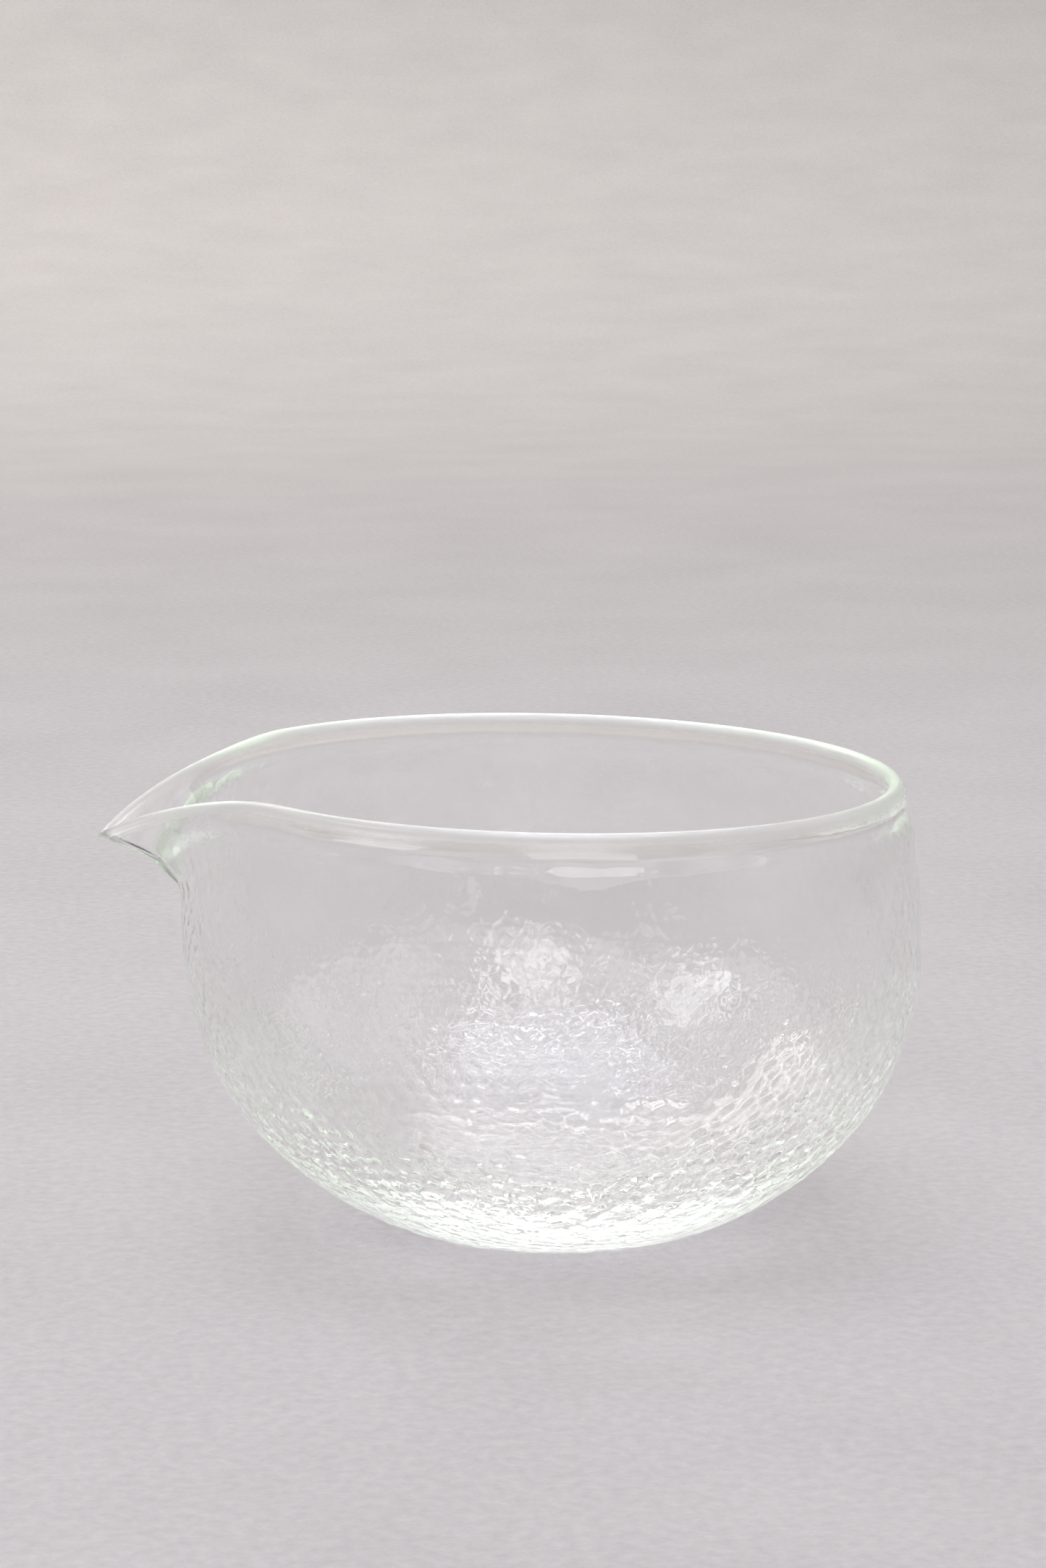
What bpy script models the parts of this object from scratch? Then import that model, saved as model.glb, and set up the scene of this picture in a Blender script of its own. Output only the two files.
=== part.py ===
"""Glass pouring bowl: one blown wall of clear glass on a flat foot, with a rounded bead around its
rim and a beak drawn out of the rim on the -X side.

It stands on the XY plane, with +Z up and the middle of its foot at the origin."""

import math

import bmesh
import bpy

# Body, in metres
HEIGHT = 0.0815
BELLY_RADIUS = 0.065
BELLY_HEIGHT = 0.0517
RIM_TURN_IN = 0.003
FOOT_RADIUS = 0.020
WALL = 0.0024
FLOOR = 0.0046
HOLLOW_FLOOR_RADIUS = 0.014
BEAD_RADIUS = 0.00135

# Fullness of the curves: 2 makes an ellipse, less is leaner and more is squarer
OUTER_SPREAD, OUTER_RISE = 1.57, 2.15
HOLLOW_SPREAD, HOLLOW_RISE = 2.02, 2.05
SHOULDER_POWER = 2.7

# Spout
SPOUT_REACH = 0.0173
SPOUT_DIP = 0.0103
SPOUT_HALF_ANGLE = math.radians(42)
SPOUT_REACH_DEPTH = 0.020
SPOUT_DIP_DEPTH = 0.032
SPOUT_LIP_RADIUS = 0.0008
SPOUT_THIN_DEPTH = 0.008
SIDE_PINCH = 0.0019
SIDE_PINCH_ANGLE = math.radians(46)
REACH_ACROSS_POWER, REACH_DOWN_POWER = 2.3, 3.4
DIP_ACROSS_POWER = 2.9

# Fineness of the mesh
SEGMENTS = 96
BODY_POINTS, SHOULDER_POINTS, BEAD_POINTS = 10, 6, 8

RIM_RADIUS = BELLY_RADIUS - RIM_TURN_IN
BEAD_HEIGHT = HEIGHT - BEAD_RADIUS
BEAD_MIDDLE = RIM_RADIUS - BEAD_RADIUS


def empty_scene():
    for thing in list(bpy.data.objects):
        bpy.data.objects.remove(thing, do_unlink=True)


def glass_material():
    material = bpy.data.materials.new("clear_glass")
    material.use_nodes = True
    shader = material.node_tree.nodes["Principled BSDF"]
    shader.inputs["Base Color"].default_value = (0.93, 0.97, 0.95, 1)
    shader.inputs["Metallic"].default_value = 0
    shader.inputs["Roughness"].default_value = 0.02
    shader.inputs["IOR"].default_value = 1.5
    shader.inputs["Transmission Weight"].default_value = 1
    return material


def body_curve(flat, wide, bottom, spread, rise):
    """From the edge of a flat floor, where it leaves level, to the belly, where it stands upright."""
    for i in range(BODY_POINTS + 1):
        angle = math.pi / 2 * i / BODY_POINTS
        across = flat + (wide - flat) * math.sin(angle) ** (2 / spread)
        fall = (BELLY_HEIGHT - bottom) * max(0, math.cos(angle)) ** (2 / rise)
        yield across, BELLY_HEIGHT - fall


def shoulder_radius(wide, narrow, z):
    """The radius of a face between the belly, where it is wide, and the bead, where it is narrow."""
    rise = min(1, max(0, (z - BELLY_HEIGHT) / (BEAD_HEIGHT - BELLY_HEIGHT)))
    return wide - (wide - narrow) * rise**SHOULDER_POWER


def outer_radius(z):
    return shoulder_radius(BELLY_RADIUS, RIM_RADIUS, z)


def hollow_radius(z):
    return shoulder_radius(BELLY_RADIUS - WALL, RIM_RADIUS - 2 * BEAD_RADIUS, z)


def shoulder_heights():
    step = (BEAD_HEIGHT - BELLY_HEIGHT) / SHOULDER_POINTS
    return [BELLY_HEIGHT + step * i for i in range(1, SHOULDER_POINTS + 1)]


def wall_section():
    """The wall's outline in the XZ plane, from the middle of the foot round to the middle of the floor."""
    section = [(0, 0)]
    section += body_curve(FOOT_RADIUS, BELLY_RADIUS, 0, OUTER_SPREAD, OUTER_RISE)
    section += [(outer_radius(z), z) for z in shoulder_heights()]
    for i in range(1, BEAD_POINTS):
        angle = math.pi * i / BEAD_POINTS
        across = BEAD_MIDDLE + BEAD_RADIUS * math.cos(angle)
        section.append((across, BEAD_HEIGHT + BEAD_RADIUS * math.sin(angle)))
    section += [(hollow_radius(z), z) for z in reversed(shoulder_heights())]
    hollow = list(
        body_curve(
            HOLLOW_FLOOR_RADIUS, BELLY_RADIUS - WALL, FLOOR, HOLLOW_SPREAD, HOLLOW_RISE
        )
    )
    section += reversed(hollow)
    section.append((0, FLOOR))
    return section


def turn(section):
    """The outline turned once round the Z axis into a closed wall."""
    mesh = bmesh.new()
    points = [mesh.verts.new((across, 0, z)) for across, z in section]
    edges = [mesh.edges.new(pair) for pair in zip(points, points[1:])]
    bmesh.ops.spin(
        mesh,
        geom=points + edges,
        cent=(0, 0, 0),
        axis=(0, 0, 1),
        angle=2 * math.pi,
        steps=SEGMENTS,
        use_merge=True,
    )
    bmesh.ops.remove_doubles(mesh, verts=mesh.verts, dist=1e-6)
    bmesh.ops.recalc_face_normals(mesh, faces=mesh.faces)
    return mesh


def fade(share):
    """1 at 0 and 0 at 1 and past it, leaving both levels smoothly."""
    share = min(1, max(0, share))
    return 1 - share * share * (3 - 2 * share)


def draw_spout(mesh):
    """Pulls the rim and the wall under it out into a beak, which dips and thins towards its tip."""
    for vertex in mesh.verts:
        radius = math.hypot(vertex.co.x, vertex.co.y)
        if radius < HOLLOW_FLOOR_RADIUS:
            continue
        off_line = abs(math.atan2(vertex.co.y, -vertex.co.x))
        side = max(0, 1 - off_line / SPOUT_HALF_ANGLE)
        below = max(0, BEAD_HEIGHT - vertex.co.z)
        reach = SPOUT_REACH * side**REACH_ACROSS_POWER
        if off_line < SIDE_PINCH_ANGLE:
            reach -= SIDE_PINCH * math.sin(math.pi * off_line / SIDE_PINCH_ANGLE) ** 2
        reach *= max(0, 1 - below / SPOUT_REACH_DEPTH) ** REACH_DOWN_POWER
        dip = SPOUT_DIP * side**DIP_ACROSS_POWER * fade(below / SPOUT_DIP_DEPTH)

        thinned = (1 - SPOUT_LIP_RADIUS / BEAD_RADIUS) * side
        thinned *= fade(below / SPOUT_THIN_DEPTH)
        middle = (outer_radius(vertex.co.z) + hollow_radius(vertex.co.z)) / 2
        above = max(0, vertex.co.z - BEAD_HEIGHT)
        moved = radius - (radius - middle) * thinned + reach
        vertex.co.x *= moved / radius
        vertex.co.y *= moved / radius
        vertex.co.z -= above * thinned + dip


def glass_bowl(material):
    mesh = turn(wall_section())
    draw_spout(mesh)
    data = bpy.data.meshes.new("glass_bowl")
    mesh.to_mesh(data)
    mesh.free()
    data.materials.append(material)
    data.shade_smooth()
    bowl = bpy.data.objects.new("glass_bowl", data)
    bpy.context.scene.collection.objects.link(bowl)
    return bowl


empty_scene()
glass_bowl(glass_material())
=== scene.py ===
"""A hand-blown glass pouring bowl with a hammered outside, standing on a pale paper sweep."""

import math

import bmesh
import bpy
import numpy as np
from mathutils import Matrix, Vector


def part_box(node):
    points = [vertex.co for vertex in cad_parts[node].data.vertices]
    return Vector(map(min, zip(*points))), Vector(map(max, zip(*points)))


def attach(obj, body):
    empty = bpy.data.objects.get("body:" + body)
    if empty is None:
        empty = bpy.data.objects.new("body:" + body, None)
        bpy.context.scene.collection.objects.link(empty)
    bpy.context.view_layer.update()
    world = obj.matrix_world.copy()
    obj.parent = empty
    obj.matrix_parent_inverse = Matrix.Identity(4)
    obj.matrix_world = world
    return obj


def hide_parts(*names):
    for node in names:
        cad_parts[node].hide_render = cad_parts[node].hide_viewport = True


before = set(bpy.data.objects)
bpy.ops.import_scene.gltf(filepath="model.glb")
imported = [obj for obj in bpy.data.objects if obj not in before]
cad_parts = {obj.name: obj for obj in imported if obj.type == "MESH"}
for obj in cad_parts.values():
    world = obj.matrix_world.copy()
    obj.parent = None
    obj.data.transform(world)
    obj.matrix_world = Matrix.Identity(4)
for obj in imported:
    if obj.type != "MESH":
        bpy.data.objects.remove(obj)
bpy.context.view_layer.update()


# 1. The bowl. One wall of clear soda glass: blown into a mould whose hammered face leaves shallow
# many-sided dents on the outside, then cut open, its rim melted round and a beak drawn out of it.

node_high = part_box("glass_bowl")[1]
HEIGHT = node_high[2]
BELLY_RADIUS = node_high[0]
BELLY_HEIGHT = 0.0517
RIM_TURN_IN = 0.003
FOOT_RADIUS = 0.020
WALL = 0.0024
FLOOR = 0.0046
HOLLOW_FLOOR_RADIUS = 0.014
BEAD_RADIUS = 0.00135
NECK_DEPTH, NECK_LENGTH = 0.0003, 0.003
OUTER_SPREAD, OUTER_RISE = 1.57, 2.15
HOLLOW_SPREAD, HOLLOW_RISE = 2.02, 2.05
SHOULDER_POWER = 2.7
RIM_RADIUS = BELLY_RADIUS - RIM_TURN_IN
BEAD_HEIGHT = HEIGHT - BEAD_RADIUS
BEAD_MIDDLE = RIM_RADIUS - BEAD_RADIUS

CELLS_END = HEIGHT - 0.0085
CELLS_END_ANGLE = math.radians(112)
CELL_ROWS = 10
CELL_SCATTER = 0.022
CELL_LAND = 0.2
LAND_DEPTH = 0.75
CORNER_LIFT = 0.9
DENT_DEPTH = 0.0001
DENT_HEIGHTS = (0.0, 0.0012, 0.004, 0.010, 0.018, 0.028, 0.040, 0.055, 0.073)
DENT_SHARES = (0.1, 0.35, 0.7, 0.9, 1.4, 1.4, 0.8, 0.25, 0.04)
HOLLOW_DENT_SHARES = (0.1, 0.2, 0.5, 0.9, 1.0, 0.9, 0.35, 0.14, 0.04)
HOLLOW_DENT_DEPTH = 0.00006
FLAT_FOOT_SHARE = 0.1
DENT_SEED = 5
COLUMNS = 240
SEAM_GAP = 0.0014
WALL_RINGS, WALL_RINGS_POWER = 14, 1.5
BEAD_STEPS = 15


def body_curve(flat, wide, bottom, spread, rise, count):
    """Radius and height from the edge of a level floor up to the upright belly."""
    angle = np.linspace(0, math.pi / 2, count)
    across = flat + (wide - flat) * np.sin(angle) ** (2 / spread)
    fall = (BELLY_HEIGHT - bottom) * np.clip(np.cos(angle), 0, 1) ** (2 / rise)
    return across, BELLY_HEIGHT - fall


def shoulder_radius(wide, narrow, z):
    rise = np.clip((z - BELLY_HEIGHT) / (BEAD_HEIGHT - BELLY_HEIGHT), 0, 1)
    return wide - (wide - narrow) * rise**SHOULDER_POWER


def neck(z):
    """How far each face draws in under the bead, where the melted rim has gathered."""
    below = np.maximum(0, BEAD_HEIGHT - z) / NECK_LENGTH
    return NECK_DEPTH * below**2 * np.exp(1 - below**2)


def outer_radius(z):
    return shoulder_radius(BELLY_RADIUS, RIM_RADIUS, z) - neck(z)


def hollow_radius(z):
    return shoulder_radius(BELLY_RADIUS - WALL, RIM_RADIUS - 2 * BEAD_RADIUS, z) + neck(z)


def face_line(flat, wide, bottom, spread, rise, radius_at):
    """Radius and height of one face of the wall, from its middle to the end of the dents."""
    level = np.linspace(0, flat, 200)[1:-1]
    across, up = body_curve(flat, wide, bottom, spread, rise, 1500)
    top = np.linspace(BELLY_HEIGHT, CELLS_END, 400)[1:]
    across = np.concatenate([level, across, radius_at(top)])
    return across, np.concatenate([np.full(len(level), bottom), up, top])


OUTSIDE = face_line(
    FOOT_RADIUS, BELLY_RADIUS, 0, OUTER_SPREAD, OUTER_RISE, outer_radius
)
HOLLOW = face_line(
    HOLLOW_FLOOR_RADIUS, BELLY_RADIUS - WALL, FLOOR, HOLLOW_SPREAD, HOLLOW_RISE, hollow_radius
)


def show(name, data):
    made = bpy.data.objects.new(name, data)
    bpy.context.scene.collection.objects.link(made)
    return made


def edit(thing):
    """This one alone selected, in edit mode, with all of its mesh selected."""
    bpy.ops.object.select_all(action="DESELECT")
    thing.select_set(True)
    bpy.context.view_layer.objects.active = thing
    bpy.ops.object.mode_set(mode="EDIT")
    bpy.ops.mesh.select_all(action="SELECT")


def spun(name, across, up, steps):
    """A line of radii and heights turned once round the Z axis."""
    data = bpy.data.meshes.new(name)
    points = [(r, 0, z) for r, z in zip(across, up)]
    data.from_pydata(points, [(i, i + 1) for i in range(len(points) - 1)], [])
    made = show(name, data)
    edit(made)
    bpy.ops.mesh.spin(steps=steps, angle=2 * math.pi, center=(0, 0, 0), axis=(0, 0, 1))
    bpy.ops.mesh.select_all(action="SELECT")
    bpy.ops.mesh.remove_doubles(threshold=1e-6)
    bpy.ops.object.mode_set(mode="OBJECT")
    return made


# The dents start as a ball of triangles, shaken so that they are uneven. The cells are its dual:
# one many-sided cell round each corner of the ball.
bpy.ops.object.select_all(action="DESELECT")
bpy.ops.mesh.primitive_ico_sphere_add(subdivisions=2, radius=1)
ball = bpy.context.object
edit(ball)
bpy.ops.mesh.subdivide(number_cuts=CELL_ROWS)
bpy.ops.transform.tosphere(value=1)
bpy.ops.transform.vertex_random(offset=CELL_SCATTER, uniform=0, normal=0, seed=11)
bpy.ops.object.mode_set(mode="OBJECT")


def cells_round_corners(data):
    """The middles of a closed mesh's faces, and for each corner the ring of faces round it."""
    mesh = bmesh.new()
    mesh.from_mesh(data)
    middles = [face.calc_center_median().normalized() for face in mesh.faces]
    rings = []
    for corner in mesh.verts:
        start = loop = corner.link_loops[0]
        ring = []
        while not ring or loop != start:
            ring.append(loop.face.index)
            loop = loop.link_loop_prev.link_loop_radial_next
        rings.append(ring)
    mesh.free()
    return np.array(middles), rings


cell_corners, cell_rings = cells_round_corners(ball.data)
bpy.data.objects.remove(ball)
cell_rings = [
    ring
    for ring in cell_rings
    if max(cell_corners[i][2] for i in ring) < -math.cos(CELLS_END_ANGLE)
]


def laid_on(points, line):
    """Points of the unit ball rolled onto a face so that each cell keeps its shape: their places,
    and the way out of the bowl there."""
    across, up = line
    step = np.hypot(np.diff(across), np.diff(up))
    widening = np.concatenate([[0], np.cumsum(2 * step / (across[1:] + across[:-1]))])
    on_ball = 2 * np.arctan(math.tan(CELLS_END_ANGLE / 2) * np.exp(widening - widening[-1]))
    points = points / np.linalg.norm(points, axis=1)[:, None]
    angle = np.arccos(np.clip(-points[:, 2], -1, 1))
    turn = np.arctan2(points[:, 1], points[:, 0])
    radius = np.interp(angle, on_ball, across) * np.minimum(1, angle / on_ball[0])
    slope = np.interp(angle, on_ball, np.arctan2(np.gradient(up), np.gradient(across)))
    round_axis = np.stack([np.cos(turn), np.sin(turn), 0 * turn], 1)
    place = round_axis * radius[:, None]
    place[:, 2] = np.interp(angle, on_ball, up)
    out = round_axis * np.sin(slope)[:, None]
    out[:, 2] = -np.cos(slope)
    return place, out


def dent_share(across, z, shares):
    """How deep the dents are: faint on the flat of the foot, full above it, fading up the wall."""
    beyond = np.clip((across - HOLLOW_FLOOR_RADIUS) / (FOOT_RADIUS - HOLLOW_FLOOR_RADIUS), 0, 1)
    flat_share = FLAT_FOOT_SHARE + (1 - FLAT_FOOT_SHARE) * beyond
    return np.interp(z, DENT_HEIGHTS, shares) * flat_share


def hammered(name, line, deepest, shares):
    """One hammered face. Each cell is a shallow pan: its outline, a land inside it, its middle."""
    dice = np.random.default_rng(DENT_SEED)
    used = sorted({i for ring in cell_rings for i in ring})
    number = {old: new for new, old in enumerate(used)}
    points = [cell_corners[i] for i in used]
    depths = list(dice.uniform(-CORNER_LIFT, CORNER_LIFT, len(points)))
    faces = []
    for ring in cell_rings:
        edge = [number[i] for i in ring]
        middle = np.mean([points[i] for i in edge], axis=0)
        depth = dice.uniform(0.5, 1.5)
        land = list(range(len(points), len(points) + len(edge)))
        points += [points[i] + (middle - points[i]) * CELL_LAND for i in edge]
        depths += [LAND_DEPTH * depth + 0.5 * depths[i] for i in edge]
        faces += [(edge[k - 1], edge[k], land[k], land[k - 1]) for k in range(len(edge))]
        faces += [(land[k - 1], land[k], len(points)) for k in range(len(land))]
        points.append(middle)
        depths.append(depth)
    place, out = laid_on(np.array(points), line)
    across = np.hypot(place[:, 0], place[:, 1])
    place -= out * (np.array(depths) * deepest * dent_share(across, place[:, 2], shares))[:, None]
    data = bpy.data.meshes.new(name)
    data.from_pydata(place, [], faces)
    return show(name, data)


def rim_line():
    """Radius and height up the smooth outside, over the bead and down the smooth inside."""
    start = CELLS_END + SEAM_GAP
    steps = 1 - np.linspace(1, 0, WALL_RINGS) ** WALL_RINGS_POWER
    wall = start + (BEAD_HEIGHT - start) * steps
    bead = np.linspace(0, math.pi, BEAD_STEPS)[1:-1]
    across = [
        outer_radius(wall),
        BEAD_MIDDLE + BEAD_RADIUS * np.cos(bead),
        hollow_radius(wall[::-1]),
    ]
    up = [wall, BEAD_HEIGHT + BEAD_RADIUS * np.sin(bead), wall[::-1]]
    return np.concatenate(across), np.concatenate(up)


def sew(one, other, beyond):
    """Joins two skins and bridges their open edges that are further out than a radius."""
    bpy.ops.object.select_all(action="DESELECT")
    one.select_set(True)
    other.select_set(True)
    bpy.context.view_layer.objects.active = one
    bpy.ops.object.join()
    edit(one)
    bpy.ops.mesh.select_mode(type="EDGE")
    bpy.ops.mesh.select_all(action="DESELECT")
    mesh = bmesh.from_edit_mesh(one.data)
    for edge in mesh.edges:
        near = min(math.hypot(v.co.x, v.co.y) for v in edge.verts)
        edge.select_set(edge.is_boundary and near > beyond)
    bmesh.update_edit_mesh(one.data)
    bpy.ops.mesh.bridge_edge_loops()
    bpy.ops.object.mode_set(mode="OBJECT")


bowl = hammered("hammered_glass_bowl", OUTSIDE, DENT_DEPTH, DENT_SHARES)
rim = spun("rim", *rim_line(), COLUMNS)
sew(bowl, rim, float(hollow_radius(CELLS_END)) + WALL / 2)
sew(bowl, hammered("hollow", HOLLOW, HOLLOW_DENT_DEPTH, HOLLOW_DENT_SHARES), 0)
edit(bowl)
bpy.ops.mesh.normals_make_consistent(inside=False)
bpy.ops.object.mode_set(mode="OBJECT")

# Spout, drawn out of the hot rim, and the small lean and tilt that free-hand work leaves
SPOUT_REACH = 0.0173
SPOUT_DIP = 0.0103
SPOUT_HALF_ANGLE = math.radians(42)
SPOUT_REACH_DEPTH = 0.020
SPOUT_DIP_DEPTH = 0.032
SPOUT_LIP_RADIUS = 0.0008
SPOUT_THIN_DEPTH = 0.008
SIDE_PINCH = 0.0019
SIDE_PINCH_ANGLE = math.radians(46)
REACH_ACROSS_POWER, REACH_DOWN_POWER = 2.3, 3.4
DIP_ACROSS_POWER = 2.9
SIDE_LEAN = 0.0015
RIM_TILT = math.radians(1.19)
WAVE_SEED = 8
WAVE_HEIGHT = 0.00005
WAVE_LENGTHS = np.linspace(0.006, 0.030, 14)
MAIN_WAVE_LENGTH = 0.02
CALM_RIM_DEPTH = 0.006
MELTED_DEPTH = 0.0022


def fade(share):
    """1 at 0 and 0 at 1 and past it, leaving both levels smoothly."""
    share = np.clip(share, 0, 1)
    return 1 - share * share * (3 - 2 * share)


def waved(place):
    """Slow waves in both faces, as the glass sagged and was turned while it was soft."""
    dice = np.random.default_rng(WAVE_SEED)
    push = np.zeros(len(place))
    for length in WAVE_LENGTHS:
        way = dice.normal(size=3)
        way *= 2 * math.pi / length / np.linalg.norm(way)
        push += np.sin(place @ way + dice.uniform(0, 6.3)) * length / MAIN_WAVE_LENGTH
    above_floor = np.clip((place[:, 2] - FLOOR) / FLOOR, 0, 1)
    below_rim = fade(1 - (HEIGHT - place[:, 2]) / CALM_RIM_DEPTH)
    share = above_floor * below_rim
    place[:, :2] *= 1 + (WAVE_HEIGHT * push * share)[:, None] / BELLY_RADIUS
    return place


def with_spout(place):
    """The rim and the wall under it pulled out into a beak, which dips and thins towards its tip."""
    x, y, z = place.T
    radius = np.hypot(x, y)
    off_line = np.abs(np.arctan2(y, -x))
    side = np.clip(1 - off_line / SPOUT_HALF_ANGLE, 0, 1)
    below = np.maximum(0, BEAD_HEIGHT - z)
    pinch = np.sin(math.pi * np.clip(off_line / SIDE_PINCH_ANGLE, 0, 1)) ** 2
    reach = SPOUT_REACH * side**REACH_ACROSS_POWER - SIDE_PINCH * pinch
    reach *= np.clip(1 - below / SPOUT_REACH_DEPTH, 0, 1) ** REACH_DOWN_POWER
    dip = SPOUT_DIP * side**DIP_ACROSS_POWER * fade(below / SPOUT_DIP_DEPTH)
    thinned = (1 - SPOUT_LIP_RADIUS / BEAD_RADIUS) * side * fade(below / SPOUT_THIN_DEPTH)
    middle = (outer_radius(z) + hollow_radius(z)) / 2
    above = np.maximum(0, z - BEAD_HEIGHT)
    moved = radius - (radius - middle) * thinned + reach
    scale = np.where(radius > HOLLOW_FLOOR_RADIUS, moved / np.maximum(radius, 1e-9), 1)
    return np.stack([x * scale, y * scale, z - above * thinned - dip], 1)


def leaning(place):
    """The foot set a little away from the spout, and the rim tipped down on that side."""
    share = place[:, 2] / HEIGHT
    place[:, 0] += SIDE_LEAN * (1 - share)
    place[:, 2] -= math.tan(RIM_TILT) * place[:, 0] * share
    return place


place = np.empty(3 * len(bowl.data.vertices))
bowl.data.vertices.foreach_get("co", place)
place = place.reshape(-1, 3)
melted = fade((BEAD_HEIGHT - place[:, 2]) / MELTED_DEPTH)
bowl.data.attributes.new("melted", "FLOAT", "POINT").data.foreach_set("value", melted)
place = leaning(with_spout(waved(place)))
bowl.data.vertices.foreach_set("co", place.ravel())
bowl.data.shade_smooth()
bowl.data.update()


class Wire:
    """A socket of a material. Sums on it add Math nodes, and node() adds any other node."""

    def __init__(self, tree, socket=None):
        self.tree = tree
        self.socket = socket

    def node(self, kind, settings, sockets, output=0):
        made = self.tree.nodes.new("ShaderNode" + kind)
        for name, value in settings.items():
            if name == "stops":
                for stop, (at, color) in zip(made.color_ramp.elements, value):
                    stop.position = at
                    stop.color = color
            else:
                setattr(made, name, value)
        for name, value in sockets.items():
            if isinstance(value, Wire):
                self.tree.links.new(value.socket, made.inputs[name])
            else:
                made.inputs[name].default_value = value
        return Wire(self.tree, made.outputs[output])

    def maths(self, operation, one, other):
        return self.node("Math", {"operation": operation}, {0: one, 1: other})

    def __add__(self, other):
        return self.maths("ADD", self, other)

    def __mul__(self, other):
        return self.maths("MULTIPLY", self, other)

    def __sub__(self, other):
        return self.maths("SUBTRACT", self, other)

    def __rsub__(self, other):
        return self.maths("SUBTRACT", other, self)

    __radd__ = __add__
    __rmul__ = __mul__

    def between(self, low, high):
        """0 up to low, 1 past high, and smooth between them."""
        settings = {"interpolation_type": "SMOOTHSTEP"}
        return self.node("MapRange", settings, {"Value": self, "From Min": low, "From Max": high})

    def into(self, shader, name):
        self.tree.links.new(self.socket, shader.inputs[name])


# The glass: fine ripples all over, chill marks and faint cell edges low down where the mould was
# cold, and a satin melted rim. It is clear, and looks green only along a long way through it.
GLASS_IOR = 1.51
RIPPLE_HEIGHT = 0.00006
RIPPLE_SCALE, CHILL_SCALE, CELL_EDGE_SCALE = 170, 700, 340
CELL_EDGE_WIDTH = 0.08
CHILL_LOW_DOWN, CHILL_ON_RIM, CELL_EDGE_SHARE = 0.4, 0.2, 0.3
RIM_SATIN = 0.32
GLASS_TINT = (0.5, 0.77, 0.43, 1)
GLASS_TINT_DENSITY = 1.6
glass = bpy.data.materials.new("clear_soda_glass")
glass.use_nodes = True
tree = glass.node_tree
shader = tree.nodes["Principled BSDF"]
shader.inputs["Base Color"].default_value = (1, 1, 1, 1)
shader.inputs["IOR"].default_value = GLASS_IOR
shader.inputs["Transmission Weight"].default_value = 1
place = Wire(tree).node("TexCoord", {}, {}, "Object")
height = place.node("SeparateXYZ", {}, {"Vector": place}, "Z")
melted = place.node("Attribute", {"attribute_name": "melted"}, {}, "Fac")
ripple = place.node("TexNoise", {}, {"Vector": place, "Scale": RIPPLE_SCALE, "Detail": 2})
chill = place.node("TexNoise", {}, {"Vector": place, "Scale": CHILL_SCALE, "Detail": 3})
to_edge = {"feature": "DISTANCE_TO_EDGE"}
edge_distance = place.node("TexVoronoi", to_edge, {"Vector": place, "Scale": CELL_EDGE_SCALE})
cell_face = edge_distance.between(0.0, CELL_EDGE_WIDTH)
low_down = 1 - height.between(0.008, 0.030)
hammered_part = 1 - height.between(0.014, 0.046)
chill_share = low_down * CHILL_LOW_DOWN + melted * CHILL_ON_RIM
relief = ripple + chill * chill_share + cell_face * hammered_part * CELL_EDGE_SHARE
bump = place.node("Bump", {}, {"Height": relief, "Strength": 1, "Distance": RIPPLE_HEIGHT})
bump.into(shader, "Normal")
satin = melted * RIM_SATIN
satin.into(shader, "Roughness")
body_tint = tree.nodes.new("ShaderNodeVolumeAbsorption")
body_tint.inputs["Color"].default_value = GLASS_TINT
body_tint.inputs["Density"].default_value = GLASS_TINT_DENSITY
tree.links.new(body_tint.outputs["Volume"], tree.nodes["Material Output"].inputs["Volume"])
bowl.data.materials.append(glass)

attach(bowl, "root")
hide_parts("glass_bowl")


# 2. The sweep: pale matt paper with a fine tooth, which lies flat under the bowl and curves up all
# the way round it. It is turned from one line, so it has no seam behind the bowl.

SWEEP_RADIUS, SWEEP_BEND, SWEEP_HEIGHT = 4.0, 2.4, 1.2
SWEEP_FLAT_RINGS = (0.0, 0.3, 0.8)
SWEEP_BEND_RINGS, SWEEP_COLUMNS = 25, 128
SWEEP_GREY = 0.32
SWEEP_TINT = (1.0, 0.952, 0.955)
SWEEP_MOTTLE = 0.035
FIBRE_SCALE, FIBRE_SHARE, FIBRE_HEIGHT = 420, 0.7, 0.0003
CLOUD_SCALE, CLOUD_SHARE = 14, 0.3
bend = np.linspace(0, math.pi / 2, SWEEP_BEND_RINGS)
sweep_across = [*SWEEP_FLAT_RINGS, *(SWEEP_RADIUS - SWEEP_BEND + SWEEP_BEND * np.sin(bend))]
sweep_up = [*np.zeros(len(SWEEP_FLAT_RINGS)), *(SWEEP_HEIGHT * (1 - np.cos(bend)))]
sweep = spun("paper_sweep", sweep_across, sweep_up, SWEEP_COLUMNS)
edit(sweep)
bpy.ops.mesh.normals_make_consistent(inside=True)
bpy.ops.object.mode_set(mode="OBJECT")
sweep.data.shade_smooth()
paper = bpy.data.materials.new("matt_paper")
paper.use_nodes = True
tree = paper.node_tree
shader = tree.nodes["Principled BSDF"]
shader.inputs["Roughness"].default_value = 0.9
shader.inputs["Specular IOR Level"].default_value = 0.2
place = Wire(tree).node("TexCoord", {}, {}, "Object")
grain = {"Vector": place, "Scale": FIBRE_SCALE, "Detail": 5, "Roughness": 0.6}
fibres = place.node("TexNoise", {}, grain)
cloud = place.node("TexNoise", {}, {"Vector": place, "Scale": CLOUD_SCALE, "Detail": 3})
dark, light = (
    [(SWEEP_GREY + side) * part for part in SWEEP_TINT] + [1]
    for side in (-SWEEP_MOTTLE, SWEEP_MOTTLE)
)
mottle = fibres * FIBRE_SHARE + cloud * CLOUD_SHARE
tone = mottle.node("ValToRGB", {"stops": [(0.3, dark), (0.7, light)]}, {"Fac": mottle})
tone.into(shader, "Base Color")
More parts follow.
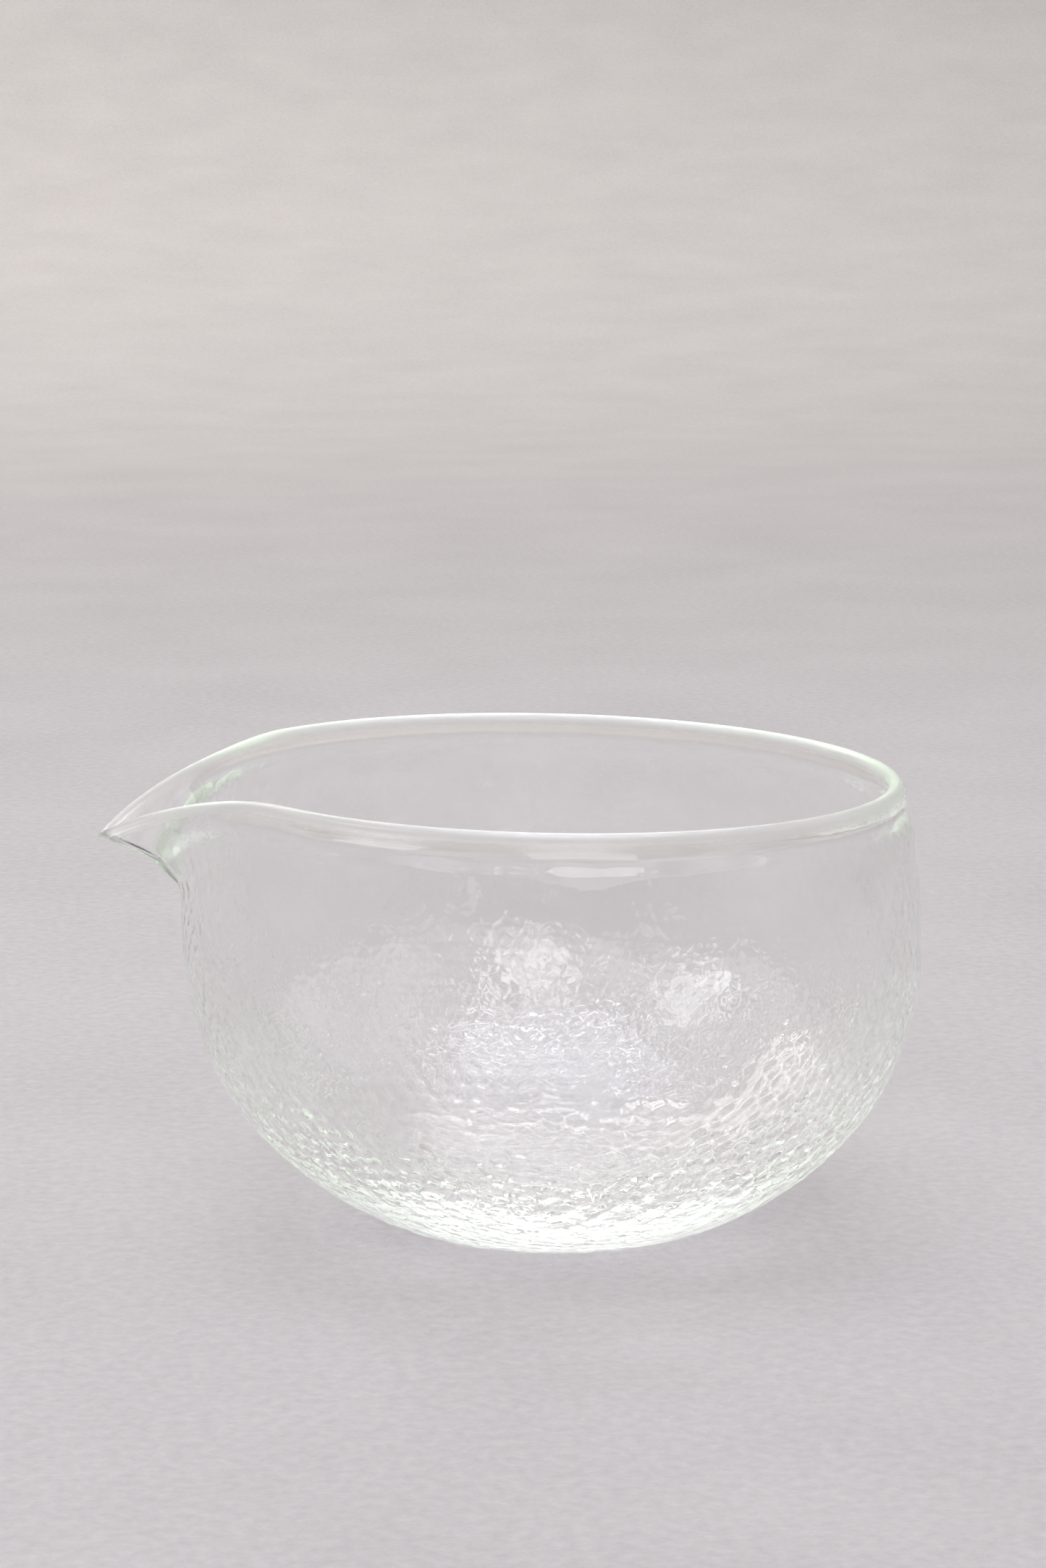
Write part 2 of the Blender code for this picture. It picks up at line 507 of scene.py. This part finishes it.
bump = place.node("Bump", {}, {"Height": fibres, "Strength": 1, "Distance": FIBRE_HEIGHT})
bump.into(shader, "Normal")
sweep.data.materials.append(paper)


# 3. Light and camera. A wide soft box with three bright tubes under it hangs straight above the
# bowl, in a pale room. A warmer strip lights the paper behind, and two windows stand in front.

BOX_WIDTH, BOX_DEPTH, BOX_HEIGHT = 0.8, 0.95, 0.98
TUBE_WIDTH, TUBE_DROP = 0.045, 0.01
TUBE_PLACES = (-0.33, 0.0, 0.33)
BOX_RADIANCE, TUBE_RADIANCE, STRIP_RADIANCE = 1.0, 14, 11
BOX_COLOR, TUBE_COLOR = (0.92, 0.95, 1.1), (0.94, 0.96, 1.06)
STRIP_COLOR, WINDOW_COLOR = (1.0, 0.97, 0.92), (1, 1, 1)
BOWL_MIDDLE = (0, 0, 0.05)


def panel(name, place, size, radiance, color, aim=None):
    """A rectangular light of an even radiance, facing down or facing a point."""
    light = bpy.data.lights.new(name, "AREA")
    light.shape = "RECTANGLE"
    light.size, light.size_y = size
    light.color = color
    light.energy = radiance * size[0] * size[1] * math.pi
    lamp = show(name, light)
    lamp.location = place
    if aim:
        lamp.rotation_euler = (Vector(aim) - Vector(place)).to_track_quat("-Z", "Y").to_euler()


panel("soft_box", (0, 0, BOX_HEIGHT), (BOX_WIDTH, BOX_DEPTH), BOX_RADIANCE, BOX_COLOR)
for number, across in enumerate(TUBE_PLACES):
    under_box = (0, across, BOX_HEIGHT - TUBE_DROP)
    panel(f"tube_{number}", under_box, (BOX_WIDTH, TUBE_WIDTH), TUBE_RADIANCE, TUBE_COLOR)
panel("backdrop_strip", (-0.8, 2.3, 1.75), (3.4, 0.45), STRIP_RADIANCE, STRIP_COLOR)
panel("front_window", (0.1, -1.9, 1.5), (1.1, 1.1), 2.5, WINDOW_COLOR, BOWL_MIDDLE)
panel("left_window", (-1.15, -0.45, 1.0), (0.6, 0.6), 3.4, WINDOW_COLOR, BOWL_MIDDLE)

# The room is brighter in some directions than in others, which shades the clear glass
ROOM_COLOR = (1, 0.99, 0.98, 1)
ROOM_DARKEST, ROOM_SPREAD = 0.6, 0.9
world = bpy.data.worlds.new("pale_room")
world.use_nodes = True
world.node_tree.nodes["Background"].inputs["Color"].default_value = ROOM_COLOR
sky = Wire(world.node_tree).node("TexCoord", {}, {}, "Generated")
drapes = sky.node("TexNoise", {}, {"Vector": sky, "Scale": 2.6, "Detail": 2})
brightness = drapes.between(0.38, 0.62) * ROOM_SPREAD + ROOM_DARKEST
brightness.into(world.node_tree.nodes["Background"], "Strength")
bpy.context.scene.world = world

SPOUT_TURN = 0.1288
CAMERA_DISTANCE = 0.649
CAMERA_ELEVATION = math.radians(10.27)
LOOK_AT = Vector((-0.00438, 0.00057, 0.0786))
LENS_LENGTH, FRAME_HEIGHT = 85, 36
away = Vector((-math.sin(SPOUT_TURN), -math.cos(SPOUT_TURN), math.tan(CAMERA_ELEVATION)))
away.normalize()
lens = bpy.data.cameras.new("camera")
lens.lens = LENS_LENGTH
lens.sensor_width = FRAME_HEIGHT
camera = show("camera", lens)
camera.location = LOOK_AT + away * CAMERA_DISTANCE
camera.rotation_euler = (-away).to_track_quat("-Z", "Y").to_euler()
bpy.context.scene.camera = camera

# Light turns many times inside the thick rim before it leaves it. The bowl's shadow keeps the light
# that the glass gathers, which a blurred glossy bounce would lose.
LIGHT_BOUNCES = 96
scene = bpy.context.scene
scene.view_settings.view_transform = "Standard"
scene.cycles.max_bounces = LIGHT_BOUNCES
scene.cycles.transmission_bounces = LIGHT_BOUNCES
scene.cycles.glossy_bounces = LIGHT_BOUNCES
scene.cycles.blur_glossy = 0
